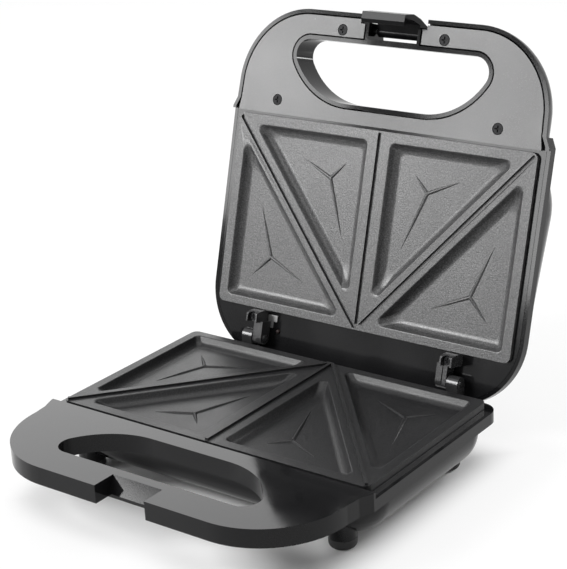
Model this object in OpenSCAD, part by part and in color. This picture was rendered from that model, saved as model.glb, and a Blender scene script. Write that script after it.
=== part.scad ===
// Sandwich toaster with two hinged halves, four triangular pockets, open hand grips and a front latch.
// Millimetres. X is the width, the grips point to -Y, Z is up and the feet stand on Z = 0.
// Both halves are drawn shut: Y = 0 is the hinge axis, Z = 0 is the plane the plates meet in.

/* [Lid] */
// How far the lid stands open in the resting pose, in degrees
open_angle = 106.4; // [100:0.2:106.4]
// Height of the domed lid above its parting face
lid_h = 36; // [34:0.5:44]

/* [Base] */
// Height of the parting plane above the floor
rim_z = 40; // [40:0.5:48]

/* [Cooking plates] */
// Width of a cooking plate
plate_w = 218; // [208:1:226]
// Depth of a sandwich pocket
pocket_h = 5.4; // [4.4:0.1:5.4]
// Wall thickness of a cast plate
plate_t = 2.8; // [2.4:0.1:2.8]

/* [Latch] */
// How far the latch clip stands open in the resting pose, in degrees
latch_open = 8; // [0:1:30]

/* [Parts] */
// Sub-part to draw, or all of them

/* [Hidden] */
$fn = 64;
eps = 0.01;

// Clearances
closing_gap = 0.5;   // between the two halves when shut
fit = 0.2;           // between neighbours that don't move
seat = 0.1;          // between a screw and what it clamps
pin_fit = 0.05;      // round a hinge or latch pin

// Outline of the body and the grips, seen from above
plate_rim = 6.5;     // from the edge of a plate to the side of the body
body_hw = plate_w / 2 + plate_rim;
base_waist_hw = body_hw - 4.5; // half the width where the round of the grip ends
lid_waist_hw = body_hw - 3.3;
base_flare = [body_hw - 3.3, -155];
lid_flare = [body_hw - 2.8, -152];
shoulder_y = -146;   // here the grip has widened to the body
base_front_y = -215;
base_corner_r = 51;
lid_front_y = -212.5;
lid_corner_r = 51;
base_rear_y = -13.4;
base_rear_r = 10.5;
lid_rear_y = 14;
lid_rear_r = 45;
wall = 2.4;
panel_t = 2.4;       // thickness of the grip panels and the rails beside a plate
step_y = -144.5;     // the grip panels end here, the rails lie lower
base_rail_h = 4;
lid_rail_h = 2.6;
grip_h = 11;         // thickness of the lower grip

// Hand opening
hole_front_y = -193.9;
hole_small_r = 9.9;
hole_small_x = 60;
hole_big_r = 48;
hole_big_x = 27.6;
hole_wall = 2.2;

// Cooking plates
plate_front_y = -142.4;
plate_rear_y = -17.75;
plate_corner_r = 4;
lower_skirt_h = 6;
upper_skirt_h = 3.4;
skirt_t = 3;
pocket_corner_r = 3.4;
pocket_slope = 6;    // how far a pocket wall leans in over the depth
side_land = 5.7;     // from the edge of the plate to a pocket
rear_land = 4.85;
front_land = 5.9;
centre_land = 8;     // half the land in the middle
cross_land = 5;      // half the land along a diagonal
ridge_w = 2;
ridge_h = 1.3;
groove_w = 2.6;
groove_h = 1.8;
mark_h = 0.5;        // toasting marks stand this far out of a pocket floor
mark_w = 1.6;
front_mark = [0.355, 0.49, 0.37]; // reach of its strokes towards the corners of a pocket
side_mark = [0.46, 0.42, 0.42];
boss_r = 4;
boss_h = 13;
boss_x = plate_w / 2 - 11;
boss_y = [-105, -60];
stud_y = [-106, -54];
stud_r = 4;
thermostat_y = -80;
thermostat_r = 9;
thermostat_h = 4.4;
thermostat_cap_r = 6;
fuse_place = [30, -66];
fuse_r = 2.2;
fuse_l = 12;
seat_gap = 0.3;
seat_t = 2;
ledge_w = 4;
tab_inset = 0.6;
ledge_h = 2.2;

// Heating element
back_z = pocket_h + plate_t;
tube_r = 3.3;
loop_x = 62;
loop_r = 20;
loop_front_y = -118;
loop_end_y = -44;
cradle_w = 10;
tube_z = back_z + tube_r + fit;
cold_pin_r = 1.6;
cold_pin_l = 12;

// Reflector tray
tray_x = 76;
tray_front_y = -127;
tray_rear_y = -38;
tray_t = 0.8;
tray_wall_h = 2;
tray_z = tube_z + tube_r + 0.9;

// Screws
screw_head_r = 3.4;
screw_head_h = 1.5;
screw_r = 1.6;
small_head_r = 2.5;
small_screw_r = 1.2;
tower_r = 4.4;
cover_screw_side = [80.6, -153.2];
cover_screw_front = [36.9, -201.4];
grip_screw_side = [92, -166];
grip_screw_front = [48, -204.4];
screw_bite = 4.4;    // how deep a grip screw goes into its tower

// Hinge
axis_z = -2.9;
knuckle_r = 4.5;
knuckle_in = 65.6;   // the lid's knuckle starts here, seen from the middle
knuckle_mid = 73;    // and meets the knuckle of the base here
knuckle_out = 81;
knuckle_gap = 0.6;
pin_r = 2;
arm_in = 68.6;
arm_w = 8.3;
arm_out = arm_in + arm_w;
arm_swing_r = 17.2;  // the front of an arm is round about the hinge axis
arm_rear_y = -9.8;
arm_low = -10.4;
arm_screw = [(arm_in + arm_out) / 2, -13.3];
arm_head_r = 2.7;
arm_recess_r = 3.1;
arm_recess_h = 3.6;
arm_screw_l = 22;
arm_play = 1.6;      // room beside an arm in its notch
bracket_in = 61;
bracket_out = 89;
bracket_top = -grip_h - fit;
bracket_low = -25;
bracket_t = 3;
bracket_screw_x = [66.6, 84.6];
bracket_screw_z = -18.5;
bracket_bite = 4.6;  // how deep a bracket screw goes into the casing
stop_gap = 0.3;      // between the stop of the hinge and the open lid
stop_from = -5.2;
stop_to = -12;

// Base tub and feet
tub_inset = 2.8;
tub_front_y = -151;
tub_corner_r = 24;
tub_edge_r = 20;
tub_top = 8.6;
tub_floor = rim_z - 6;
foot_r = 8;
foot_x = body_hw - 24.5;
foot_y = [-141, -34];
foot_points = [for (x = [-foot_x, foot_x], y = foot_y) [x, y]];
foot_round = 3;
foot_stem_r = 2.6;
foot_stem_h = 3;
post_r = 5.4;
post_head_z = boss_h + 5;
vent_w = 3;
vent_l = 36;
vent_y = -96;

// Lid dome and grip
dome_front_inset = 0.5;
dome_rear_inset = 5;
dome_end_inset = 1.5;
dome_front_y = -150;
dome_corner_r = 43.5;
dome_edge_r = 26;
lid_grip_h = 18.5;
lid_grip_edge_r = 17.5;
rim_h = lid_grip_h - lid_grip_edge_r;
band_h = 8.5;        // straight side of the body
cover_inset = 3.4;
cover_rear_inset = 5.1;
cover_rear_y = -144.2;
cover_groove = 0.9;
lid_hole_wall = 2.5;
tongue_y = -148;     // the lid frame reaches this far under the grip cover

// Latch
latch_y = -202.7;
latch_z = 10;
latch_hw = 15.5;
latch_barrel_r = 3.2;
latch_pin_r = 1.5;
window_hw = 17.7;
window_rear_y = -197.5;
window_wide_hw = 24;
window_wide_y = -207.3;
window_t = 2;
cover_window_hw = 20.9;
notch_hw = 17.5;
notch_rear_y = -200;
ledge_y = -205.4;    // the sloping ledge of the notch ends in a lip here
ledge_z = -9;
lip_z = -grip_h;
claw_gap = 0.5;
claw_tip_y = ledge_y + 1.6;
claw_t = 2.1;
clip_t = 3.7;
clip_front_y = latch_y - 10.2; // the clip bulges forward to here
clip_bulge_z = -4.2;
clip_shoulder_z = latch_z - 5.7;
clip_top_z = latch_z + 4;
clip_top_y = latch_y - 6.7;

// Lamps
lamp_x = 15;
lamp_y = -112;
lamp_r = 4.5;
lamp_flange_r = 5.8;
lamp_flange_h = 1.2;
lens_h = 3.4;
bulb_r = 2.8;
bulb_h = 5;

// Terminal block and wires
block_w = 28;
block_d = 14;
block_h = 11;
block_y = -60;
block_pitch = 9;
block_bore_r = 1.9;
wire_r = 1.3;
lead_hole = [-60, -5];
gland_x = -44;
gland_z = 22;
gland_r = 5;
gland_l = 6;
gland_flange_r = 7.6;
gland_flange_h = 2;
cord_r = 3;
gland_pad = 9;
thermostat_lead_z = tube_z + 0.6;
lead_out = 0.4;      // a wire starts this far out of its terminal
lead_run = 11.6;
lead_turn_y = -26;
lead_low_z = 19;
lead_high_z = 24;
thermostat_lead_x = 7.5;
clip_lead_w = 7.2;   // small bracket beside the left arm
clip_lead_d = 8.4;
clip_lead_t = 1.1;
clip_lead_leg_w = 4.2;
clip_lead_arm_d = 4.2;
clip_lead_y = -15;

// The resting pose stands with the middle of its bounding box over the origin
frame_y = 69.1;

// Where each half goes

module base_pose() translate([0, frame_y, rim_z]) children();

module lid_pose() base_pose() translate([0, 0, axis_z]) rotate([-open_angle, 0, 0])
    translate([0, 0, -axis_z]) children();

module latch_pose() lid_pose() translate([0, latch_y, latch_z]) rotate([-latch_open, 0, 0])
    translate([0, -latch_y, -latch_z]) children();

// A half is drawn with its parting face on Z = 0 and turned over for the base
module lower() base_pose() mirror([0, 0, 1]) children();

module upper() lid_pose() translate([0, 0, closing_gap]) children();

module both_sides() for (side = [0, 1]) mirror([side, 0, 0]) children();

module in_front_of(y) intersection() {
    children();
    translate([-200, y - 400]) square(400);
}

module behind(y) intersection() {
    children();
    translate([-200, y]) square(400);
}

// Outlines seen from above, drawn in by t

module grip_plan(waist_hw, front_y, corner_r, flare, t) {
    corner_x = waist_hw - corner_r;
    both_sides() translate([corner_x, front_y + corner_r]) circle(corner_r - t, $fn = 128);
    translate([-corner_x, front_y + t]) square([2 * corner_x, corner_r]);
    polygon([
        [-waist_hw + t, front_y + corner_r], [waist_hw - t, front_y + corner_r],
        [flare.x - t, flare.y], [body_hw - t, shoulder_y],
        [-body_hw + t, shoulder_y], [-flare.x + t, flare.y]
    ]);
}

module body_plan(rear_y, rear_r, t) {
    rear_x = body_hw - rear_r;
    front_y = shoulder_y - eps;
    translate([-body_hw + t, front_y]) square([2 * (body_hw - t), rear_y - rear_r - front_y]);
    both_sides() translate([rear_x, rear_y - rear_r]) circle(rear_r - t, $fn = 128);
    translate([-rear_x, rear_y - rear_r - 1]) square([2 * rear_x, rear_r - t + 1]);
}

module base_plan(t) {
    grip_plan(base_waist_hw, base_front_y, base_corner_r, base_flare, t);
    body_plan(base_rear_y, base_rear_r, t);
}

module lid_plan(t) {
    grip_plan(lid_waist_hw, lid_front_y, lid_corner_r, lid_flare, t);
    body_plan(lid_rear_y, lid_rear_r, t);
}

// The hand opening: tight front corners run tangent into wide rear arcs. Drawn out by t
hole_rear_y = hole_front_y + hole_small_r + hole_big_r
    - sqrt(pow(hole_big_r - hole_small_r, 2) - pow(hole_small_x - hole_big_x, 2));

module hole_plan(t) {
    small_y = hole_front_y + hole_small_r;
    big_y = hole_rear_y - hole_big_r;
    lean = atan2(small_y - big_y, hole_small_x - hole_big_x);
    far = 2 * hole_big_r;
    translate([-hole_small_x, hole_front_y - t]) square([2 * hole_small_x, hole_small_r + t]);
    translate([-hole_big_x, hole_front_y]) square([2 * hole_big_x, hole_rear_y - hole_front_y + t]);
    both_sides() {
        translate([hole_small_x, small_y]) circle(hole_small_r + t);
        intersection() {
            translate([hole_big_x, big_y]) circle(hole_big_r + t, $fn = 128);
            translate([hole_big_x, big_y]) polygon([
                [0, 0], [far * cos(lean), far * sin(lean)], [far, far], [0, far]
            ]);
            translate([0, hole_front_y - t]) square(2 * far);
        }
    }
}

// Round of the plates, drawn out by t
module plate_plan(t) {
    half = plate_w / 2;
    r = plate_corner_r;
    span = plate_rear_y - plate_front_y;
    translate([-half - t, plate_front_y + r]) square([2 * (half + t), span - 2 * r]);
    translate([-half + r, plate_front_y - t]) square([2 * (half - r), span + 2 * t]);
    for (x = [-half + r, half - r], y = [plate_front_y + r, plate_rear_y - r])
        translate([x, y]) circle(r + t);
}

// Bowl standing on Z = 0 with its upper edge rounded by edge_r and its corners by corner_r.
// Its half width runs straight from front_hw to rear_hw

module edge_profile(half, edge_r, height) {
    square([half - edge_r, height]);
    square([half, height - edge_r]);
    intersection() {
        translate([half - edge_r, height - edge_r]) circle(edge_r, $fn = 128);
        translate([half - edge_r, height - edge_r]) square(edge_r);
    }
}

module bowl(front_hw, rear_hw, front_y, rear_y, corner_r, edge_r, height) {
    front = [front_hw - corner_r, front_y + corner_r];
    rear = [rear_hw - corner_r, rear_y - corner_r];
    side = rear - front;
    linear_extrude(height) polygon([[-front.x, front.y], front, rear, [-rear.x, rear.y]]);
    both_sides() {
        for (p = [front, rear]) translate([p.x, p.y, 0]) rotate_extrude($fn = 128)
            edge_profile(corner_r, edge_r, height);
        translate([rear.x, rear.y, 0]) rotate([0, 0, atan2(-side.x, side.y)]) rotate([90, 0, 0])
            linear_extrude(norm(side)) edge_profile(corner_r, edge_r, height);
    }
    translate([-front.x, front.y, 0]) rotate([90, 0, 90]) linear_extrude(2 * front.x) mirror([1, 0])
        edge_profile(corner_r, edge_r, height);
    translate([-rear.x, rear.y, 0]) rotate([90, 0, 90]) linear_extrude(2 * rear.x)
        edge_profile(corner_r, edge_r, height);
}

// Wires, pins and screws

module rod(a, b, r) {
    v = b - a;
    translate(a) rotate([0, acos(v.z / norm(v)), atan2(v.y, v.x)]) cylinder(r = r, h = norm(v), $fn = 24);
}

module lead(points) for (i = [0 : len(points) - 2]) {
    rod(points[i], points[i + 1], wire_r);
    translate(points[i + 1]) sphere(wire_r + seat, $fn = 24);
}

// A screw with its head on Z = 0 and its shank above
module screw(length, head_r, shank_r) {
    translate([0, 0, -screw_head_h]) cylinder(r = head_r, h = screw_head_h);
    translate([0, 0, -eps]) cylinder(r = shank_r, h = length, $fn = 32);
}

module at(points, z) for (p = points) translate([p.x, p.y, z]) children();

function mirrored(points) = concat(points, [for (p = points) [-p.x, p.y]]);

cover_screw_points = mirrored([cover_screw_side, cover_screw_front]);
grip_screw_points = mirrored([grip_screw_side, grip_screw_front]);

// Cooking plate with its rim on Z = 0 and its pockets and fixings above

diagonal = atan2(plate_rear_y - plate_front_y, plate_w / 2);
cross_shift = cross_land / cos(diagonal);

// The walls of a pocket: a point on the line and its direction, the pocket on the left
front_pocket = [
    [[0, plate_front_y + front_land], 0],
    [[0, plate_rear_y - cross_shift], 180 - diagonal],
    [[centre_land, 0], -90]
];
side_pocket = [
    [[plate_w / 2 - side_land, 0], 90],
    [[0, plate_rear_y - rear_land], 180],
    [[0, plate_rear_y + cross_shift], -diagonal]
];

function moved_out(line, t) = [line[0] + t * [sin(line[1]), -cos(line[1])], line[1]];
function turned(v, u) = v.x * u.y - v.y * u.x;
function along(a) = [cos(a), sin(a)];
function meeting(l, m) = l[0] + along(l[1]) * turned(m[0] - l[0], along(m[1]))
    / turned(along(l[1]), along(m[1]));

module soft_triangle(lines, r) {
    inner = [for (l = lines) moved_out(l, -r)];
    points = [for (i = [0 : 2]) meeting(inner[i], inner[(i + 1) % 3])];
    polygon(points);
    for (i = [0 : 2]) {
        translate(points[i]) circle(r);
        translate(points[i]) rotate(lines[(i + 1) % 3][1])
            translate([0, -r]) square([norm(points[(i + 1) % 3] - points[i]), r]);
    }
}

// Space on the pocket side of a wall that leans in
module wall_side(line) {
    lean = atan2(pocket_slope, pocket_h);
    big = 400;
    translate([line[0].x, line[0].y, 0]) rotate([0, 0, line[1]]) rotate([-lean, 0, 0])
        translate([-big / 2, 0, -big / 2]) cube(big);
}

module pocket(lines, depth, t) intersection() {
    translate([0, 0, -1]) linear_extrude(depth + 1) soft_triangle([for (l = lines) moved_out(l, t)],
        pocket_corner_r + t);
    wall_side(moved_out(lines[0], t));
    wall_side(moved_out(lines[1], t));
    wall_side(moved_out(lines[2], t));
}

module pockets(depth, t) both_sides() {
    pocket(front_pocket, depth, t);
    pocket(side_pocket, depth, t);
}

// Middle and diagonal lines that part the sandwiches
module parting_lines(w) {
    span = norm([plate_w / 2, plate_rear_y - plate_front_y]);
    translate([-w / 2, plate_front_y]) square([w, plate_rear_y - plate_front_y]);
    both_sides() translate([0, plate_rear_y]) rotate(-diagonal) translate([0, -w / 2]) square([span, w]);
}

// Three tapering strokes from the middle of a pocket towards its corners
module toasting_mark(lines, reach) {
    corner = [for (i = [0 : 2]) meeting(lines[i], lines[(i + 1) % 3])];
    far = [for (i = [0 : 2]) norm(corner[(i + 1) % 3] - corner[(i + 2) % 3])];
    centre = (corner[0] * far[0] + corner[1] * far[1] + corner[2] * far[2]) / (far[0] + far[1] + far[2]);
    for (i = [0 : 2]) {
        v = (corner[i] - centre) / norm(corner[i] - centre);
        n = [-v.y, v.x] * mark_w / 2;
        p = centre + reach[i] * (corner[i] - centre);
        polygon([centre - n - v * mark_w / 2, p - n / 3, p + n / 3, centre + n - v * mark_w / 2]);
    }
}

module toasting_marks() both_sides() {
    toasting_mark(front_pocket, front_mark);
    toasting_mark(side_pocket, side_mark);
}

// The heating element lies in a cradle on the back
module loop_plan(w) {
    turn_y = loop_front_y + loop_r;
    turn_x = loop_x - loop_r;
    both_sides() {
        translate([loop_x - w / 2, turn_y]) square([w, loop_end_y - turn_y]);
        intersection() {
            translate([turn_x, turn_y]) difference() {
                circle(loop_r + w / 2);
                circle(loop_r - w / 2);
            }
            translate([turn_x, turn_y - 2 * loop_r]) square(2 * loop_r);
        }
    }
    translate([-turn_x, loop_front_y - w / 2]) square([2 * turn_x, w]);
}

module loop_tube(r) {
    turn_y = loop_front_y + loop_r;
    turn_x = loop_x - loop_r;
    both_sides() {
        translate([loop_x, loop_end_y, tube_z]) rotate([90, 0, 0]) cylinder(r = r, h = loop_end_y - turn_y);
        translate([turn_x, turn_y, tube_z]) rotate([0, 0, -90]) rotate_extrude(angle = 90)
            translate([loop_r, 0]) circle(r);
    }
    translate([-turn_x, loop_front_y, tube_z]) rotate([0, 90, 0]) cylinder(r = r, h = 2 * turn_x);
}

boss_points = [for (x = [-boss_x, boss_x], y = boss_y) [x, y]];
stud_points = [for (y = stud_y) [0, y]];

module plate_body(skirt_h) {
    difference() {
        union() {
            linear_extrude(plate_t) plate_plan(0);
            linear_extrude(skirt_h) difference() {
                plate_plan(0);
                plate_plan(-skirt_t);
            }
            pockets(back_z, plate_t);
            translate([0, 0, plate_t / 2]) linear_extrude(tube_z - plate_t / 2) loop_plan(cradle_w);
            at(boss_points, plate_t / 2) cylinder(r = boss_r, h = boss_h - plate_t / 2);
            at(stud_points, plate_t / 2) cylinder(r = stud_r, h = tray_z - plate_t / 2);
            translate([0, thermostat_y, plate_t / 2])
                cylinder(r = thermostat_cap_r, h = back_z - plate_t / 2);
        }
        pockets(pocket_h, 0);
        loop_tube(tube_r + fit);
        at(boss_points, back_z - seat) cylinder(r = screw_r + seat, h = boss_h, $fn = 32);
        at(stud_points, back_z) cylinder(r = small_screw_r + seat, h = boss_h, $fn = 32);
    }
    translate([0, 0, pocket_h - mark_h]) linear_extrude(mark_h + eps) toasting_marks();
}

// Rails, wells and tabs that carry a plate
module plate_seat(rail_h, skirt_h) {
    rest_z = skirt_h + fit;
    tab_z = boss_h + fit;
    translate([0, 0, rail_h]) linear_extrude(rest_z + ledge_h - rail_h) difference() {
        plate_plan(seat_gap + seat_t);
        plate_plan(seat_gap);
    }
    translate([0, 0, rest_z]) linear_extrude(ledge_h) difference() {
        plate_plan(seat_gap + seat_t);
        plate_plan(-ledge_w);
    }
    both_sides() for (y = boss_y) {
        edge_x = plate_w / 2 - tab_inset;
        difference() {
            union() {
                translate([edge_x - ledge_w, y - boss_r - 1, rest_z])
                    cube([ledge_w, 2 * boss_r + 2, tab_z + ledge_h - rest_z]);
                translate([boss_x - boss_r - 1, y - boss_r - 1, tab_z])
                    cube([edge_x - boss_x + boss_r + 1, 2 * boss_r + 2, ledge_h]);
            }
            translate([boss_x, y, 0]) cylinder(r = screw_r + seat, h = 2 * boss_h, $fn = 32);
        }
    }
}

module heater() {
    loop_tube(tube_r);
    for (x = [-loop_x, loop_x]) translate([x, loop_end_y + cold_pin_l, tube_z]) rotate([90, 0, 0])
        cylinder(r = cold_pin_r, h = cold_pin_l + 1);
}

module reflector() difference() {
    translate([-tray_x, tray_front_y, tray_z + tray_t - tray_wall_h])
        cube([2 * tray_x, tray_rear_y - tray_front_y, tray_wall_h]);
    translate([-tray_x + tray_t, tray_front_y + tray_t, tray_z - tray_wall_h])
        cube([2 * (tray_x - tray_t), tray_rear_y - tray_front_y - 2 * tray_t, tray_wall_h]);
    at(stud_points, tray_z - 1) cylinder(r = small_screw_r + fit, h = 3, $fn = 32);
    both_sides() for (y = [-112 : 12 : -52]) translate([22, y, tray_z - 1]) cube([26, 3, 3]);
}

module plate_screws(head_z) at(boss_points, head_z) mirror([0, 0, 1])
    screw(head_z - back_z - 1, screw_head_r, screw_r);

module tray_screws() at(stud_points, tray_z + tray_t) mirror([0, 0, 1])
    screw(tray_z + tray_t - back_z - 1, small_head_r, small_screw_r);

// Base

module base_deck() color("#18181a") lower() {
    difference() {
        union() {
            linear_extrude(grip_h) in_front_of(step_y) base_plan(0);
            translate([0, 0, base_rail_h]) linear_extrude(grip_h - base_rail_h)
                behind(step_y - 1) base_plan(0);
        }
        translate([0, 0, panel_t]) linear_extrude(grip_h) in_front_of(step_y - wall) base_plan(wall);
        translate([0, 0, base_rail_h + panel_t]) linear_extrude(grip_h)
            behind(step_y - wall - 1) base_plan(wall);
        translate([0, 0, -1]) linear_extrude(grip_h + 2) hole_plan(0);
        translate([0, 0, -1]) linear_extrude(grip_h + 2) plate_plan(seat_gap);
        latch_notch();
        hinge_notches();
    }
    translate([0, 0, panel_t / 2]) linear_extrude(grip_h - panel_t / 2) difference() {
        hole_plan(hole_wall);
        hole_plan(0);
    }
    difference() {
        plate_seat(base_rail_h, lower_skirt_h);
        hinge_notches();
    }
    notch_walls();
    difference() {
        at(grip_screw_points, panel_t / 2) cylinder(r = tower_r, h = tub_top - fit - panel_t / 2);
        at(grip_screw_points, panel_t) cylinder(r = screw_r + seat, h = grip_h, $fn = 32);
    }
}

module latch_notch() translate([-notch_hw, base_front_y - 1, -1])
    cube([2 * notch_hw, notch_rear_y - base_front_y + 1, grip_h + 2]);

// Side cheeks of the notch and the sloping ledge whose lip the latch catches
module notch_walls() {
    both_sides() translate([notch_hw, base_front_y, 0])
        cube([wall, notch_rear_y + wall - base_front_y, grip_h]);
    translate([-notch_hw - eps, 0, 0]) mirror([0, 0, 1]) rotate([90, 0, 90])
        linear_extrude(2 * (notch_hw + eps)) polygon([
            [notch_rear_y + wall, 0], [notch_rear_y, 0], [ledge_y, ledge_z], [ledge_y, lip_z],
            [notch_rear_y, lip_z], [notch_rear_y + wall, -panel_t]
        ]);
}

module hinge_notches() both_sides() translate([arm_in - arm_play, plate_rear_y + seat, -1])
    cube([arm_out - arm_in + 2 * arm_play, 2 * wall + 2, -bracket_top + 1]);

module base_casing() color("#141415") lower() {
    inner_h = tub_floor - wall;
    difference() {
        union() {
            translate([0, 0, tub_top]) linear_extrude(grip_h - tub_top) difference() {
                base_plan(wall + fit);
                hole_plan(hole_wall + fit);
                translate([-notch_hw - wall - fit, base_front_y])
                    square([2 * (notch_hw + wall + fit), notch_rear_y + wall - base_front_y]);
            }
            translate([0, 0, tub_top]) tub(0, tub_floor - tub_top);
            at(foot_points, tub_floor - 14) cylinder(r = foot_r, h = 14);
            both_sides() translate([bracket_in, base_rear_y - 16, grip_h + fit])
                cube([bracket_out - bracket_in, 16, -bracket_low - grip_h + 1]);
            translate([gland_x - gland_pad, base_rear_y - 16, gland_z - gland_pad])
                cube([2 * gland_pad, 16, 2 * gland_pad]);
        }
        hinge_notches();
        translate([0, 0, tub_top - 1]) tub(wall, inner_h - tub_top + 1);
        at(grip_screw_points, 0) cylinder(r = screw_r + fit, h = 2 * grip_h, $fn = 32);
        at(grip_screw_points, grip_h - screw_head_h) cylinder(r = screw_head_r + fit, h = grip_h);
        at(foot_points, tub_floor - foot_stem_h - fit)
            cylinder(r = foot_stem_r + seat, h = foot_stem_h + 1);
        both_sides() for (x = bracket_screw_x) translate([x, base_rear_y + 1, -bracket_screw_z])
            rotate([90, 0, 0]) cylinder(r = small_screw_r + seat, h = 6, $fn = 32);
        translate([gland_x, base_rear_y - 20, gland_z]) rotate([-90, 0, 0])
            cylinder(r = gland_r + seat, h = 22);
        at(boss_points, post_head_z) cylinder(r = screw_head_r + fit, h = tub_floor);
        for (i = [-5 : 5]) translate([i * 3 * vent_w - vent_w / 2, vent_y, inner_h - 1])
            cube([vent_w, vent_l, wall + 2]);
    }
    difference() {
        intersection() {
            at(boss_points, boss_h + ledge_h + 2 * fit) cylinder(r = post_r, h = tub_floor);
            translate([0, 0, tub_top]) tub(0, tub_floor - tub_top);
        }
        at(boss_points, 0) cylinder(r = screw_r + fit, h = tub_floor, $fn = 32);
        at(boss_points, post_head_z) cylinder(r = screw_head_r + fit, h = tub_floor);
    }
}

module tub(t, height) bowl(body_hw - tub_inset - t, body_hw - tub_inset - t, tub_front_y + t,
    base_rear_y - tub_inset - t, tub_corner_r - t, tub_edge_r - t, height);

module lower_plate() color("#2b2b2d") lower() {
    plate_body(lower_skirt_h);
    translate([0, 0, -ridge_h]) linear_extrude(ridge_h + eps) intersection() {
        parting_lines(ridge_w);
        plate_plan(-1);
    }
}

module lower_heater() color("#8a8378") lower() heater();

module lower_reflector() color("#b9bcc0") lower() reflector();

module lower_plate_screws() color("#77797d") lower() plate_screws(post_head_z);

module lower_tray_screws() color("#77797d") lower() tray_screws();

module thermostat() color("#d9d2c4") lower() translate([0, thermostat_y, back_z]) {
    cylinder(r = thermostat_r, h = thermostat_h);
    translate([0, 0, thermostat_h - eps]) cylinder(r = thermostat_cap_r, h = 1.2);
    for (side = [-1, 1]) translate([side * thermostat_r - 3, -2, thermostat_h / 3]) cube([6, 4, 1]);
}

module thermal_fuse() color("#c9a35a") lower() translate([fuse_place.x, fuse_place.y, back_z + fuse_r + fit]) {
    translate([-fuse_l / 2, 0, 0]) rotate([0, 90, 0]) cylinder(r = fuse_r, h = fuse_l);
    translate([-fuse_l, 0, 0]) rotate([0, 90, 0]) cylinder(r = fuse_r / 4, h = 2 * fuse_l);
}

block_low = tub_floor - wall - block_h;
block_mid = tub_floor - wall - block_h / 2;

module terminal_block() color("#e6e0cf") lower() difference() {
    translate([gland_x - block_w / 2, block_y, block_low]) cube([block_w, block_d, block_h]);
    for (i = [-1 : 1]) {
        translate([gland_x + i * block_pitch, block_y - 1, block_mid]) rotate([-90, 0, 0])
            cylinder(r = block_bore_r, h = block_d + 2, $fn = 24);
        translate([gland_x + i * block_pitch, block_y + block_d / 2, block_low - 1])
            cylinder(r = block_bore_r + seat, h = block_h / 2, $fn = 24);
    }
}

module cord_gland() color("#0e0e0f") lower() translate([gland_x, base_rear_y, gland_z]) rotate([-90, 0, 0])
    difference() {
        union() {
            translate([0, 0, -gland_l]) cylinder(r = gland_r, h = gland_l);
            cylinder(r = gland_flange_r, h = gland_flange_h);
            translate([0, 0, gland_flange_h]) cylinder(r1 = gland_r, r2 = gland_r - 1, h = gland_l);
        }
        translate([0, 0, -gland_l - 1]) cylinder(r = cord_r, h = 3 * gland_l, $fn = 32);
    }

module base_wiring() color("#a8322a") lower() {
    start_y = block_y + block_d + lead_out;
    pin_y = loop_end_y + cold_pin_l + wire_r + fit;
    for (side = [-1, 1]) lead([
        [gland_x + side * block_pitch, start_y, block_mid],
        [gland_x + side * block_pitch, start_y + lead_run, block_mid],
        [side * loop_x, lead_turn_y, lead_low_z],
        [side * loop_x, pin_y, tube_z]
    ]);
    lead([
        [gland_x, start_y, block_mid], [gland_x, start_y + lead_run - 2, lead_high_z],
        [thermostat_lead_x, tray_rear_y + 5, thermostat_lead_z],
        [thermostat_lead_x, thermostat_y + thermostat_r + 3, thermostat_lead_z]
    ]);
}

module grip_screws() color("#3a3b3e") lower() at(grip_screw_points, grip_h - screw_head_h) mirror([0, 0, 1])
    screw(screw_bite + small_screw_r, screw_head_r, screw_r);

module feet() color("#0c0c0c") lower() at(foot_points, tub_floor) {
    foot_h = rim_z - tub_floor;
    translate([0, 0, -foot_stem_h]) cylinder(r = foot_stem_r, h = foot_stem_h + 1);
    rotate_extrude() {
        square([foot_r - foot_round, foot_h]);
        square([foot_r, foot_h - foot_round]);
        intersection() {
            translate([foot_r - foot_round, foot_h - foot_round]) circle(foot_round);
            square([foot_r, foot_h]);
        }
    }
}

// Hinges

// The open lid leans back against the stop face of the bracket
function stop_point(s) = [sin(open_angle), cos(open_angle)] * (lid_rail_h + closing_gap - axis_z - stop_gap)
    + [-cos(open_angle), sin(open_angle)] * s + [0, axis_z];

function arc(centre, r, from, to, steps) = [for (i = [0 : steps])
    centre + r * along(from + (to - from) * i / steps)];

module across(x0, x1) translate([x0, 0, 0]) rotate([90, 0, 90]) linear_extrude(x1 - x0) children();

module bore(r) translate([0, 0, axis_z]) rotate([0, 90, 0]) cylinder(r = r, h = 200, $fn = 48);

module hinge_brackets() color("#1d1d1f") base_pose() both_sides() difference() {
    union() {
        across(knuckle_mid + knuckle_gap / 2, knuckle_out) {
            translate([0, axis_z]) circle(knuckle_r);
            polygon([
                [-knuckle_r, axis_z], [-knuckle_r, bracket_top], [base_rear_y + 1, bracket_top],
                [base_rear_y + 1, bracket_low], [base_rear_y + bracket_t, bracket_low],
                stop_point(stop_to), stop_point(stop_from), [knuckle_r, axis_z]
            ]);
        }
        translate([bracket_in, base_rear_y, bracket_low])
            cube([bracket_out - bracket_in, bracket_t, bracket_top - bracket_low]);
    }
    bore(pin_r + pin_fit);
    for (x = bracket_screw_x) translate([x, base_rear_y - 1, bracket_screw_z]) rotate([-90, 0, 0])
        cylinder(r = small_screw_r + fit, h = bracket_t + 2, $fn = 32);
}

module bracket_screws() color("#55575b") base_pose() both_sides() for (x = bracket_screw_x)
    translate([x, base_rear_y + bracket_t, bracket_screw_z]) rotate([90, 0, 0])
        screw(bracket_t + bracket_bite, small_head_r, small_screw_r);

module hinge_pins() color("#9a9ca0") base_pose() both_sides() translate([knuckle_in - 0.6, 0, axis_z])
    rotate([0, 90, 0]) cylinder(r = pin_r, h = knuckle_out - knuckle_in + 1.2, $fn = 48);

// The front of an arm keeps this far from the hinge axis, from its lower to its upper face
function swing_angle(z) = 180 - asin((z - axis_z) / arm_swing_r);

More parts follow.
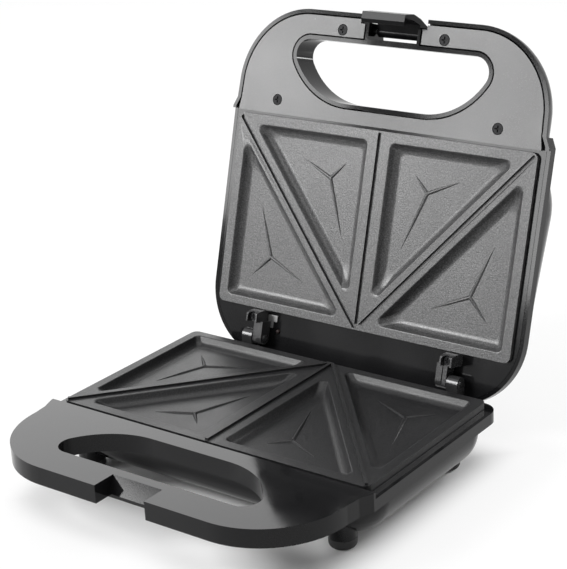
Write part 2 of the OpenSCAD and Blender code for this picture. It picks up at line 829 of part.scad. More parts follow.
module hinge_arms() color("#1d1d1f") lid_pose() both_sides() difference() {
    top_z = lid_rail_h + closing_gap;
    union() {
        across(arm_in, arm_out) polygon(concat(
            arc([0, axis_z], arm_swing_r, swing_angle(top_z), swing_angle(arm_low), 12),
            [[arm_rear_y, arm_low], [arm_rear_y, top_z]]
        ));
        across(knuckle_in, knuckle_mid - knuckle_gap / 2) {
            translate([0, axis_z]) circle(knuckle_r);
            translate([arm_rear_y - 1, axis_z - knuckle_r]) square([-arm_rear_y + 1, 2 * knuckle_r]);
        }
    }
    bore(pin_r + pin_fit);
    translate([arm_screw.x, arm_screw.y, arm_low - 1]) {
        cylinder(r = arm_recess_r, h = arm_recess_h + 1);
        translate([-arm_recess_r, 0, 0]) cube([2 * arm_recess_r, 20, arm_recess_h + 1]);
        cylinder(r = screw_r + fit, h = 20, $fn = 32);
    }
}

module arm_screws() color("#77797d") lid_pose() both_sides()
    translate([arm_screw.x, arm_screw.y, arm_low + arm_recess_h]) screw(arm_screw_l, arm_head_r, screw_r);

// Lid

module dome(t) bowl(body_hw - dome_front_inset - t, body_hw - dome_rear_inset - t, dome_front_y + t,
    lid_rear_y - dome_end_inset - t, dome_corner_r - t, dome_edge_r - t, lid_h - t);

module lid_grip(t) bowl(lid_waist_hw - t, lid_waist_hw - t, lid_front_y + t, -40, lid_corner_r - t,
    lid_grip_edge_r - t, lid_grip_h - t);

module lid_outside() {
    linear_extrude(rim_h) lid_plan(0);
    linear_extrude(band_h) behind(lid_flare.y) lid_plan(0);
    dome(0);
    lid_grip(0);
}

// Height that the frame reaches up beside the plate
frame_top = upper_skirt_h + fit + ledge_h;

module lid_inside() {
    translate([0, 0, -1]) linear_extrude(1 + rim_h / 2) lid_plan(wall);
    translate([0, 0, -1]) linear_extrude(1 + band_h - wall) behind(lid_flare.y) lid_plan(wall);
    dome(wall);
    lid_grip(wall);
}

module window_plan(hw, wide_hw, t) {
    translate([-hw - t, lid_front_y - 1]) square([2 * (hw + t), window_rear_y + t - lid_front_y + 1]);
    translate([-wide_hw - t, lid_front_y - 1])
        square([2 * (wide_hw + t), window_wide_y + t - lid_front_y + 1]);
}

module lid_casing() color("#121213") upper() difference() {
    union() {
        difference() {
            lid_outside();
            lid_inside();
        }
        intersection() {
            lid_outside();
            union() {
                linear_extrude(lid_grip_h) {
                    window_plan(window_hw, window_hw, window_t);
                    hole_plan(lid_hole_wall);
                }
                translate([0, 0, panel_t + fit]) linear_extrude(lid_grip_h)
                    window_plan(window_hw, window_wide_hw, window_t);
                at(cover_screw_points, panel_t + fit) cylinder(r = tower_r, h = lid_grip_h);
                both_sides() translate([arm_screw.x, arm_screw.y, lid_rail_h + panel_t + fit])
                    cylinder(r = tower_r, h = lid_h);
            }
        }
    }
    translate([-200, step_y, -1]) cube([400, 200, lid_rail_h + 1]);
    translate([0, 0, -1]) linear_extrude(1 + frame_top + fit) plate_plan(seat_gap + seat_t + fit);
    translate([0, 0, -1]) linear_extrude(lid_h) {
        window_plan(window_hw, window_wide_hw, 0);
        hole_plan(0);
    }
    translate([-window_hw - window_t + 0.3, latch_y, latch_z - closing_gap]) rotate([0, 90, 0])
        cylinder(r = latch_pin_r + pin_fit, h = 2 * (window_hw + window_t) - 0.6, $fn = 48);
    at(cover_screw_points, 0) cylinder(r = screw_r + seat, h = 11, $fn = 32);
    both_sides() translate([arm_screw.x, arm_screw.y, 0]) cylinder(r = screw_r + seat, h = 20, $fn = 32);
    both_sides() translate([lamp_x, lamp_y, lid_h - 5]) cylinder(r = lamp_r + seat, h = 10);
}

module lid_frame() color("#151517") upper() difference() {
    union() {
        translate([0, 0, lid_rail_h]) linear_extrude(panel_t) difference() {
            behind(tongue_y) lid_plan(wall + fit);
            plate_plan(seat_gap);
        }
        plate_seat(lid_rail_h + eps, upper_skirt_h);
    }
    both_sides() translate([arm_screw.x, arm_screw.y, 0]) cylinder(r = screw_r + fit, h = 20, $fn = 32);
    translate([lead_hole.x, lead_hole.y, 0]) cylinder(r = wire_r + 0.5, h = 20, $fn = 32);
}

module cover_plan() {
    corner = [lid_waist_hw - lid_corner_r, lid_front_y + lid_corner_r];
    round_r = lid_corner_r - cover_inset;
    side = [
        [lid_flare.x - cover_inset, lid_flare.y],
        [body_hw - cover_rear_inset, shoulder_y],
        [body_hw - cover_rear_inset, cover_rear_y]
    ];
    polygon(concat(
        arc(corner, round_r, -90, 0, 32), side,
        [for (i = [2 : -1 : 0]) [-side[i].x, side[i].y]],
        arc([-corner.x, corner.y], round_r, 180, 270, 32)
    ));
}

module lid_cover() color("#4b4b4d") upper() difference() {
    linear_extrude(panel_t) difference() {
        cover_plan();
        hole_plan(lid_hole_wall + cover_groove);
        translate([-cover_window_hw, lid_front_y]) square([2 * cover_window_hw, hole_front_y - lid_front_y]);
        translate([-window_wide_hw, lid_front_y])
            square([2 * window_wide_hw, window_wide_y + cover_groove - lid_front_y]);
    }
    at(cover_screw_points, -1) {
        cylinder(r = screw_head_r + fit, h = screw_head_h + 1);
        cylinder(r = screw_r + fit, h = 5, $fn = 32);
    }
}

module upper_plate() color("#454548") upper() difference() {
    plate_body(upper_skirt_h);
    translate([0, 0, -1]) linear_extrude(1 + groove_h) intersection() {
        parting_lines(groove_w);
        plate_plan(-1);
    }
}

module upper_heater() color("#8a8378") upper() heater();

module upper_reflector() color("#b9bcc0") upper() reflector();

module upper_plate_screws() color("#77797d") upper() plate_screws(boss_h + ledge_h + 2 * fit);

module upper_tray_screws() color("#77797d") upper() tray_screws();

module cover_screws() color("#2a2a2c") upper() at(cover_screw_points, screw_head_h)
    screw(8, screw_head_r, screw_r);

module lead_clip() color("#2c2c2e") lid_pose()
    translate([-arm_in + 2 * fit, clip_lead_y, closing_gap + lid_rail_h - clip_lead_t])
        linear_extrude(clip_lead_t) {
            square([clip_lead_w, clip_lead_arm_d]);
            square([clip_lead_leg_w, clip_lead_d]);
        }

module lid_wiring() color("#a8322a") upper() {
    pin_y = loop_end_y + cold_pin_l + wire_r + fit;
    holder_y = lamp_y + bulb_r + 1 + wire_r + 2 * fit;
    feed_y = loop_end_y - 16;
    lead([
        [loop_x, pin_y, tube_z], [loop_x, lead_turn_y - 2, lead_low_z + 3],
        [-40, lead_turn_y + 4, lead_high_z], [lead_hole.x, lead_hole.y, back_z + 4],
        [lead_hole.x, lead_hole.y, lid_rail_h]
    ]);
    lead([
        [-loop_x, pin_y, tube_z], [-loop_x, lead_turn_y - 4, lead_low_z - 1],
        [-lamp_x, feed_y, lead_high_z], [-lamp_x, holder_y, lead_high_z]
    ]);
    lead([
        [loop_x - 4, lead_turn_y - 6, lead_high_z], [lamp_x, feed_y, lead_high_z],
        [lamp_x, holder_y, lead_high_z]
    ]);
}

module lamp_lenses() color("#a01818") upper() both_sides() translate([lamp_x, lamp_y, lid_h]) {
    translate([0, 0, -lens_h]) cylinder(r = lamp_r, h = lens_h + seat);
    cylinder(r1 = lamp_flange_r, r2 = lamp_r, h = lamp_flange_h);
}

module lamp_bulbs() color("#e8b070") upper() both_sides()
    translate([lamp_x, lamp_y, lid_h - lens_h - 3 * fit]) {
        translate([0, 0, -bulb_h]) cylinder(r = bulb_r, h = bulb_h);
        translate([0, 0, -2 * bulb_h]) cylinder(r = bulb_r + 1, h = bulb_h);
    }

// Latch

module latch_pin() color("#9a9ca0") lid_pose()
    translate([-window_hw - window_t + 0.5, latch_y, latch_z]) rotate([0, 90, 0])
        cylinder(r = latch_pin_r, h = 2 * (window_hw + window_t) - 1, $fn = 48);

module latch_clip() color("#1a1a1c") latch_pose() difference() {
    claw_top = lip_z - claw_gap;
    across(-latch_hw, latch_hw) polygon(concat(
        [[clip_front_y + 2.5, claw_top - claw_t], [clip_front_y, clip_bulge_z],
            [clip_front_y + 0.8, clip_shoulder_z], [clip_top_y, clip_top_z]],
        arc([latch_y, latch_z], latch_barrel_r, 90, -90, 24),
        [[clip_front_y + 4.5, clip_shoulder_z + 0.7], [clip_front_y + clip_t, clip_bulge_z],
            [clip_front_y + 4.9, claw_top], [claw_tip_y, claw_top]],
        [[claw_tip_y, claw_top - 0.8], [claw_tip_y - claw_t, claw_top - claw_t]]
    ));
    translate([-50, latch_y, latch_z]) rotate([0, 90, 0])
        cylinder(r = latch_pin_r + pin_fit, h = 100, $fn = 48);
}

base_casing();
base_deck();
lower_plate();
lower_heater();
lower_reflector();
lower_plate_screws();
lower_tray_screws();
thermostat();
thermal_fuse();
terminal_block();
cord_gland();
base_wiring();
grip_screws();
feet();
hinge_brackets();
bracket_screws();
hinge_pins();
lid_casing();
lid_frame();
lid_cover();
upper_plate();
upper_heater();
upper_reflector();
upper_plate_screws();
upper_tray_screws();
cover_screws();
hinge_arms();
arm_screws();
lead_clip();
lid_wiring();
lamp_lenses();
lamp_bulbs();
latch_pin();
latch_clip();
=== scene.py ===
"""Looks of a sandwich toaster: bevelled casings, procedural finishes, screws, studio and camera.

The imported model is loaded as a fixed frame. Lengths are in metres, apart from those of the edges,
the plates and the constants below that say millimetres.
"""

import logging
import math
from dataclasses import dataclass, field
from enum import Enum
from typing import Sequence

import bmesh
import bpy
from mathutils import Matrix, Vector

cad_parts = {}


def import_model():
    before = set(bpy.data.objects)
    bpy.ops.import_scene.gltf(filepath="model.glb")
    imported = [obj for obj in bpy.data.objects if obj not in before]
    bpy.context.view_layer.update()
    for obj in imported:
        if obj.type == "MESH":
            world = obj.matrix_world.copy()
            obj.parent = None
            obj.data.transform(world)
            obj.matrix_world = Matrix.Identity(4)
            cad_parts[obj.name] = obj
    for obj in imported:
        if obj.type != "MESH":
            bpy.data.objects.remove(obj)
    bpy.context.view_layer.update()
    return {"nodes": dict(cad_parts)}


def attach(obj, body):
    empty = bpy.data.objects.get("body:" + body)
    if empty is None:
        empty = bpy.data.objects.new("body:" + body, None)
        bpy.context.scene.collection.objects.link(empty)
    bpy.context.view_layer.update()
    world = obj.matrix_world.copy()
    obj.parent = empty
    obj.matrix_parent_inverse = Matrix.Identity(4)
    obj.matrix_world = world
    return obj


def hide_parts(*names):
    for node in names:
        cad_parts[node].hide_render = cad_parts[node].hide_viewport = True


LOG = logging.getLogger("toaster")
MM = 0.001

# In millimetres: corners closer than WELD are one, heights closer than LEVEL are the same,
# and what lies deeper than NEAR isn't on the face any more
WELD = 0.002
LEVEL = 0.02
NEAR = 0.05

Number = int | float
Colour = tuple[float, float, float]


class Body(str, Enum):
    """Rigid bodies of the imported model."""

    BASE = "base"
    LID = "lid"
    LATCH = "latch"


class Noise(str, Enum):
    """Kinds of procedural pattern."""

    CLOUD = "ShaderNodeTexNoise"
    CELLS = "ShaderNodeTexVoronoi"


# Shader maths


class Value:
    """An output socket that behaves like a number in expressions."""

    def __init__(self, tree: bpy.types.NodeTree, socket: bpy.types.NodeSocket) -> None:
        self.tree = tree
        self.socket = socket

    def _math(self, operation: str, *operands: "Value | Number", clamp: bool = False) -> "Value":
        """Adds a Math node.

        Args:
            operation: Blender's name of the operation.
            operands: Its inputs in order.
            clamp: Whether the result is held between 0 and 1.

        Returns:
            The node's result.
        """
        node = self.tree.nodes.new("ShaderNodeMath")
        node.operation = operation
        node.use_clamp = clamp
        for slot, operand in zip(node.inputs, operands):
            if isinstance(operand, Value):
                self.tree.links.new(operand.socket, slot)
            else:
                slot.default_value = float(operand)
        return Value(self.tree, node.outputs[0])

    def __add__(self, other: "Value | Number") -> "Value":
        return self._math("ADD", self, other)

    def __radd__(self, other: Number) -> "Value":
        return self._math("ADD", other, self)

    def __sub__(self, other: "Value | Number") -> "Value":
        return self._math("SUBTRACT", self, other)

    def __rsub__(self, other: Number) -> "Value":
        return self._math("SUBTRACT", other, self)

    def __mul__(self, other: "Value | Number") -> "Value":
        return self._math("MULTIPLY", self, other)

    def __rmul__(self, other: Number) -> "Value":
        return self._math("MULTIPLY", other, self)

    def clamped(self) -> "Value":
        """Returns the value held between 0 and 1."""
        return self._math("ADD", self, 0.0, clamp=True)

    def size(self) -> "Value":
        """Returns the value without its sign."""
        return self._math("ABSOLUTE", self)

    def larger(self, other: "Value | Number") -> "Value":
        """Returns the larger of two values."""
        return self._math("MAXIMUM", self, other)

    def ramp(self, low: Number, high: Number) -> "Value":
        """Returns a smooth 0 to 1 step between low and high."""
        node = self.tree.nodes.new("ShaderNodeMapRange")
        node.interpolation_type = "SMOOTHSTEP"
        self.tree.links.new(self.socket, node.inputs["Value"])
        node.inputs["From Min"].default_value = float(low)
        node.inputs["From Max"].default_value = float(high)
        return Value(self.tree, node.outputs["Result"])


class Shader:
    """A material under construction, with one Principled surface."""

    def __init__(self, name: str) -> None:
        self.material = bpy.data.materials.new(name)
        self.material.use_nodes = True
        self.tree = self.material.node_tree
        self.surface = next(n for n in self.tree.nodes if n.type == "BSDF_PRINCIPLED")
        self.place = self.node("ShaderNodeTexCoord").outputs["Object"]

    def node(self, kind: str, settings: dict | None = None, values: dict | None = None) -> bpy.types.Node:
        """Adds any node.

        Args:
            kind: Blender's node type.
            settings: Attributes of the node.
            values: Socket name to a number, colour, Value or socket.

        Returns:
            The new node.
        """
        made = self.tree.nodes.new(kind)
        for key, value in (settings or {}).items():
            setattr(made, key, value)
        for key, value in (values or {}).items():
            slot = made.inputs[key]
            if isinstance(value, Value):
                self.tree.links.new(value.socket, slot)
            elif isinstance(value, bpy.types.NodeSocket):
                self.tree.links.new(value, slot)
            else:
                slot.default_value = value
        return made

    def noise(self, size: float, detail: float = 2.0, kind: Noise = Noise.CLOUD) -> Value:
        """A pattern whose features are about size metres wide.

        Args:
            size: Width of a feature in metres.
            detail: Octaves of a cloud pattern.
            kind: Which pattern.

        Returns:
            Its strength, about 0 to 1.
        """
        values = {"Vector": self.place, "Scale": 1.0 / size}
        if kind is not Noise.CELLS:
            values["Detail"] = detail
        made = self.node(kind.value, values=values)
        name = "Distance" if kind is Noise.CELLS else "Fac"
        return Value(self.tree, made.outputs[name])

    def along(self, axis: int) -> Value:
        """Returns the object coordinate along an axis, which is 0, 1 or 2."""
        split = self.node("ShaderNodeSeparateXYZ", values={"Vector": self.place})
        return Value(self.tree, split.outputs[axis])

    def mix(self, amount: Value, low: Colour, high: Colour) -> bpy.types.NodeSocket:
        """Blends two colours.

        Args:
            amount: Share of the second colour.
            low: The first colour.
            high: The second colour.

        Returns:
            The socket of the blend.
        """
        made = self.node("ShaderNodeMix", {"data_type": "RGBA"})
        self.tree.links.new(amount.socket, made.inputs[0])
        made.inputs[6].default_value = (*low, 1.0)
        made.inputs[7].default_value = (*high, 1.0)
        return made.outputs[2]

    def colour(self, source: bpy.types.NodeSocket) -> None:
        """Links the base colour."""
        self.tree.links.new(source, self.surface.inputs["Base Color"])

    def feed(self, name: str, source: "Value | Number") -> None:
        """Sets or links a socket of the surface.

        Args:
            name: Name of the socket.
            source: A number to set, or a Value to link.
        """
        slot = self.surface.inputs[name]
        if isinstance(source, Value):
            self.tree.links.new(source.socket, slot)
        else:
            slot.default_value = float(source)

    def bump(self, height: Value, depth: float) -> None:
        """Feeds a height pattern into the surface's normal.

        Args:
            height: The pattern, 0 to 1.
            depth: Height in metres of a full step.
        """
        made = self.node("ShaderNodeBump", values={"Height": height, "Distance": depth, "Strength": 1.0})
        self.tree.links.new(made.outputs[0], self.surface.inputs["Normal"])


# Finishes

# Every finish blends large clouds with its own grain: the clouds' width in metres and octaves, their share
# of the colour and of the roughness, and the steps that sharpen each blend
CLOUD_SIZE = 0.045
CLOUD_DETAIL = 3.0
COLOUR_CLOUDS = 0.6
COLOUR_STEP = (0.35, 0.72)
ROUGH_CLOUDS = 0.7
ROUGH_STEP = (0.3, 0.7)

# Speckles lie SPECKLE_SPACING grains apart and share the colour equally with the grain
SPECKLE_SPACING = 1.4
SPECKLE_STEP = (0.1, 0.5)
GRAIN_STEP = (0.3, 0.7)


@dataclass(frozen=True)
class Finish:
    """A surface finish.

    Attributes:
        name: Name of the material.
        dark: Base colour in clean areas.
        light: Base colour on worn or dusty areas.
        rough: Lowest and highest roughness.
        grain: Size in metres of the bump pattern.
        depth: Depth in metres of the bump pattern.
        metallic: Metallic weight.
        coat: Weight of a clear gloss layer.
        speckle: Share of pale speckles.
        ior: Index of refraction, which sets how strongly the surface mirrors.
    """

    name: str
    dark: Colour
    light: Colour
    rough: tuple[float, float]
    grain: float = 0.0012
    depth: float = 0.00002
    metallic: float = 0.0
    coat: float = 0.0
    speckle: float = 0.0
    ior: float = 1.5

    def build(self) -> bpy.types.Material:
        """Makes the material.

        Returns:
            The finished procedural material.
        """
        shader = Shader(self.name)
        clouds = shader.noise(CLOUD_SIZE, CLOUD_DETAIL)
        fine = shader.noise(self.grain)
        if self.speckle > 0.0:
            dots = shader.noise(self.grain * SPECKLE_SPACING, kind=Noise.CELLS)
            pale = fine.ramp(*GRAIN_STEP) * 0.5 + (1.0 - dots.ramp(*SPECKLE_STEP)) * 0.5
            blend = (pale * self.speckle).clamped()
        else:
            blend = (clouds * COLOUR_CLOUDS + fine * (1.0 - COLOUR_CLOUDS)).ramp(*COLOUR_STEP)
        shader.colour(shader.mix(blend, self.dark, self.light))
        low, high = self.rough
        worn = (clouds * ROUGH_CLOUDS + fine * (1.0 - ROUGH_CLOUDS)).ramp(*ROUGH_STEP)
        shader.feed("Roughness", low + (high - low) * worn)
        shader.feed("Metallic", self.metallic)
        shader.feed("Coat Weight", self.coat)
        shader.feed("IOR", self.ior)
        shader.bump(fine, self.depth)
        return shader.material


class Finishes:
    """The materials by name, each made once."""

    SPECS = (
        Finish("casing", (0.0042, 0.0042, 0.0046), (0.008, 0.008, 0.0085), (0.05, 0.11), 0.0009, 0.000003,
               ior=1.3),
        Finish("cover", (0.018, 0.018, 0.0185), (0.026, 0.026, 0.0265), (0.20, 0.28), 0.0008, 0.000006),
        Finish("satin", (0.006, 0.006, 0.0065), (0.011, 0.011, 0.0115), (0.08, 0.14), 0.0006, 0.000004,
               ior=1.3),
        Finish("hinge", (0.035, 0.035, 0.036), (0.09, 0.09, 0.092), (0.18, 0.28), 0.0007, 0.00002, metallic=0.35),
        Finish("clip", (0.004, 0.004, 0.0044), (0.008, 0.008, 0.0085), (0.1, 0.18), 0.0009, 0.000003, ior=1.16),
        Finish("nonstick_upper", (0.014, 0.014, 0.0145), (0.12, 0.12, 0.121), (0.28, 0.36), 0.0008, 0.00011,
               speckle=0.9, ior=1.5),
        # The lower plate's coating: a darker, less mirroring copy of the upper plate's coating, which is painted
        # shade.
        Finish("nonstick_painted_shade", (0.005, 0.005, 0.0055), (0.03, 0.03, 0.031), (0.3, 0.42), 0.0008, 0.0001,
               speckle=0.9, ior=1.36),
        Finish("steel", (0.45, 0.45, 0.46), (0.62, 0.62, 0.63), (0.22, 0.38), 0.0004, 0.000008, metallic=1.0),
        Finish("dark_steel", (0.008, 0.008, 0.009), (0.024, 0.024, 0.025), (0.25, 0.4), 0.0004, 0.00001, ior=1.16),
        Finish("lead_clip", (0.2, 0.2, 0.2), (0.32, 0.32, 0.32), (0.4, 0.55), 0.0006, 0.00002, metallic=0.6),
        Finish("sheet", (0.62, 0.63, 0.64), (0.78, 0.79, 0.8), (0.18, 0.3), 0.0015, 0.00001, metallic=1.0),
        Finish("element", (0.16, 0.14, 0.12), (0.34, 0.32, 0.3), (0.4, 0.6), 0.0006, 0.00002, metallic=0.9),
        Finish("ceramic", (0.62, 0.6, 0.54), (0.75, 0.73, 0.67), (0.3, 0.45), 0.001, 0.00002),
        Finish("brass", (0.5, 0.36, 0.15), (0.7, 0.54, 0.26), (0.2, 0.35), 0.0005, 0.00001, metallic=1.0),
        Finish("rubber", (0.008, 0.008, 0.008), (0.02, 0.02, 0.02), (0.6, 0.8), 0.0005, 0.00004),
        Finish("wire", (0.012, 0.004, 0.004), (0.02, 0.007, 0.006), (0.4, 0.55), 0.0008, 0.00002),
        Finish("lens", (0.35, 0.008, 0.006), (0.42, 0.015, 0.01), (0.06, 0.12), 0.0008, 0.000004, coat=0.5),
        Finish("bulb", (0.7, 0.45, 0.25), (0.8, 0.55, 0.35), (0.08, 0.15), 0.0008, 0.000004),
    )

    def __init__(self) -> None:
        self._made: dict[str, bpy.types.Material] = {}
        self._specs = {spec.name: spec for spec in self.SPECS}

    def get(self, name: str) -> bpy.types.Material:
        """Returns the material of that name."""
        if name not in self._made:
            self._made[name] = self._specs[name].build()
        return self._made[name]


NODE_FINISH = {
    "base_casing": "casing", "base_deck": "casing", "lower_plate": "nonstick_painted_shade", "lower_heater": "element",
    "lower_reflector": "sheet", "lower_plate_screws": "steel", "lower_tray_screws": "steel",
    "thermostat": "ceramic", "thermal_fuse": "brass", "terminal_block": "ceramic", "cord_gland": "rubber",
    "base_wiring": "wire", "grip_screws": "dark_steel", "feet": "rubber", "hinge_brackets": "hinge",
    "bracket_screws": "steel", "hinge_pins": "steel", "lid_casing": "casing", "lid_frame": "satin",
    "lid_cover": "cover", "upper_plate": "nonstick_upper", "upper_heater": "element", "upper_reflector": "sheet",
    "upper_plate_screws": "steel", "upper_tray_screws": "steel", "cover_screws": "dark_steel",
    "hinge_arms": "hinge", "arm_screws": "steel", "lead_clip": "lead_clip", "lid_wiring": "wire",
    "lamp_lenses": "lens", "lamp_bulbs": "bulb", "latch_pin": "steel", "latch_clip": "clip",
}

# Width of the rounded edges of each moulded or cast node, in millimetres
NODE_EDGE = {
    "base_casing": 0.5, "base_deck": 0.45, "lower_plate": 0.5, "lid_casing": 0.45, "lid_frame": 0.3,
    "lid_cover": 0.3, "upper_plate": 0.5, "latch_clip": 0.35, "hinge_brackets": 0.3, "hinge_arms": 0.3,
    "lead_clip": 0.2, "cord_gland": 0.3, "thermostat": 0.2, "terminal_block": 0.3,
}


# Rounded edges: steps across one, the angle in degrees from which an edge is sharp, and how far large faces
# lead the shading. NODE_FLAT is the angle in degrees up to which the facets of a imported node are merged:
# more than that bends the shading of its large flat faces.
EDGE_STEPS = 2
EDGE_ANGLE = 38
FACE_LEAD = 100
NODE_FLAT = 0.02


def soften(obj: bpy.types.Object, width: float) -> None:
    """Rounds an object's sharp edges by modifiers and shades its flat faces flat.

    Args:
        obj: The object.
        width: Width of the rounding in millimetres.
    """
    bevel = obj.modifiers.new("edges", "BEVEL")
    bevel.width = width * MM
    bevel.segments = EDGE_STEPS
    bevel.limit_method = "ANGLE"
    bevel.angle_limit = math.radians(EDGE_ANGLE)
    bevel.use_clamp_overlap = True
    shade = obj.modifiers.new("shade", "WEIGHTED_NORMAL")
    shade.weight = FACE_LEAD
    shade.keep_sharp = True


class Casework:
    """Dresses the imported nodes: rounded edges by modifiers, and finishes."""

    def __init__(self, nodes: dict[str, bpy.types.Object], finishes: Finishes) -> None:
        self.nodes = nodes
        self.finishes = finishes

    def round_edges(self, name: str, width: float) -> None:
        """Rounds a node's sharp edges without touching its mesh.

        Args:
            name: The node.
            width: Width of the rounding in millimetres.
        """
        obj = self.nodes[name]
        weld = obj.modifiers.new("weld", "WELD")
        weld.merge_threshold = WELD * MM
        flat = obj.modifiers.new("flat", "DECIMATE")
        flat.decimate_type = "DISSOLVE"
        flat.angle_limit = math.radians(NODE_FLAT)
        soften(obj, width)

    def dress(self) -> None:
        """Gives every node its finish and its edges."""
        for name, obj in self.nodes.items():
            material = self.finishes.get(NODE_FINISH[name])
            obj.data.materials.clear()
            obj.data.materials.append(material)
            if name in NODE_EDGE:
                self.round_edges(name, NODE_EDGE[name])
        LOG.info("dressed %d nodes", len(self.nodes))


# Pieces

OPEN_ANGLE = math.radians(106.4)
HINGE = Vector((0.0, 69.1, 37.1))
RIM_Z = 40.0
CLOSING_GAP = 0.5
TO_METRES = Matrix.Scale(MM, 4)

# From a plate's own frame in millimetres, with Z into the plate, to the model
LOWER_PLACE = TO_METRES @ Matrix.Translation((0.0, HINGE.y, RIM_Z)) @ Matrix.Rotation(math.pi, 4, "Y")
LID_PLACE = (TO_METRES @ Matrix.Translation(HINGE) @ Matrix.Rotation(-OPEN_ANGLE, 4, "X")
             @ Matrix.Translation((0.0, 0.0, RIM_Z - HINGE.z)))
UPPER_PLACE = LID_PLACE @ Matrix.Translation((0.0, 0.0, CLOSING_GAP))


def add_piece(name: str, shape: bmesh.types.BMesh, body: Body, material: bpy.types.Material) -> bpy.types.Object:
    """Makes a bmesh a piece of the model.

    Args:
        name: Name of the piece.
        shape: Its form in metres; it is freed.
        body: The body it rides on.
        material: Its finish.

    Returns:
        The new object.
    """
    mesh = bpy.data.meshes.new(name)
    for face in shape.faces:
        face.smooth = True
    shape.to_mesh(mesh)
    LOG.info("%s: %d faces", name, len(mesh.polygons))
    shape.free()
    obj = bpy.data.objects.new(name, mesh)
    bpy.context.scene.collection.objects.link(obj)
    obj.data.materials.append(material)
    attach(obj, body.value)
    return obj


@dataclass
class PocketProfile:
    """Section of a pocket wall in millimetres: a round lip, a straight slope and a hollow foot.

    Attributes:
        depth: Depth of the pocket.
        lip_r: Radius of the lip.
        foot_r: Radius of the hollow foot.
        slope: Steepest angle of the wall in degrees.
        corner_r: Radius of the pocket's corners.
        steps: Steps along each round.
    """

    depth: float = 5.4
    lip_r: float = 0.9
    foot_r: float = 5.6
    slope: float = 62.0
    corner_r: float = 3.4
    steps: int = 5

    def points(self) -> list[tuple[float, float]]:
        """Returns inset and depth of each ring from the lip to the floor."""
        steep = math.radians(self.slope)
        drop = (self.lip_r + self.foot_r) * (1.0 - math.cos(steep))
        straight = (self.depth - drop) / math.sin(steep)
        points = []
        for i in range(1, self.steps + 1):
            turn = steep * i / self.steps
            points.append((self.lip_r * math.sin(turn), self.lip_r * (1.0 - math.cos(turn))))
        start = (points[-1][0] + straight * math.cos(steep), points[-1][1] + straight * math.sin(steep))
        points.append(start)
        for i in range(1, 2 * self.steps + 1):
            turn = steep * (1.0 - i / (2 * self.steps))
            points.append((start[0] + self.foot_r * (math.sin(steep) - math.sin(turn)),
                           start[1] + self.foot_r * (math.cos(turn) - math.cos(steep))))
        return points


# Section of a rib: the share of its width across it, and the share of its height
RIB_SECTION = ((-0.5, 0.0), (-0.3, 0.72), (-0.1, 1.0), (0.1, 1.0), (0.3, 0.72), (0.5, 0.0))

# Sides of a pocket whose headings agree by more than this are one side
PARALLEL = 0.98


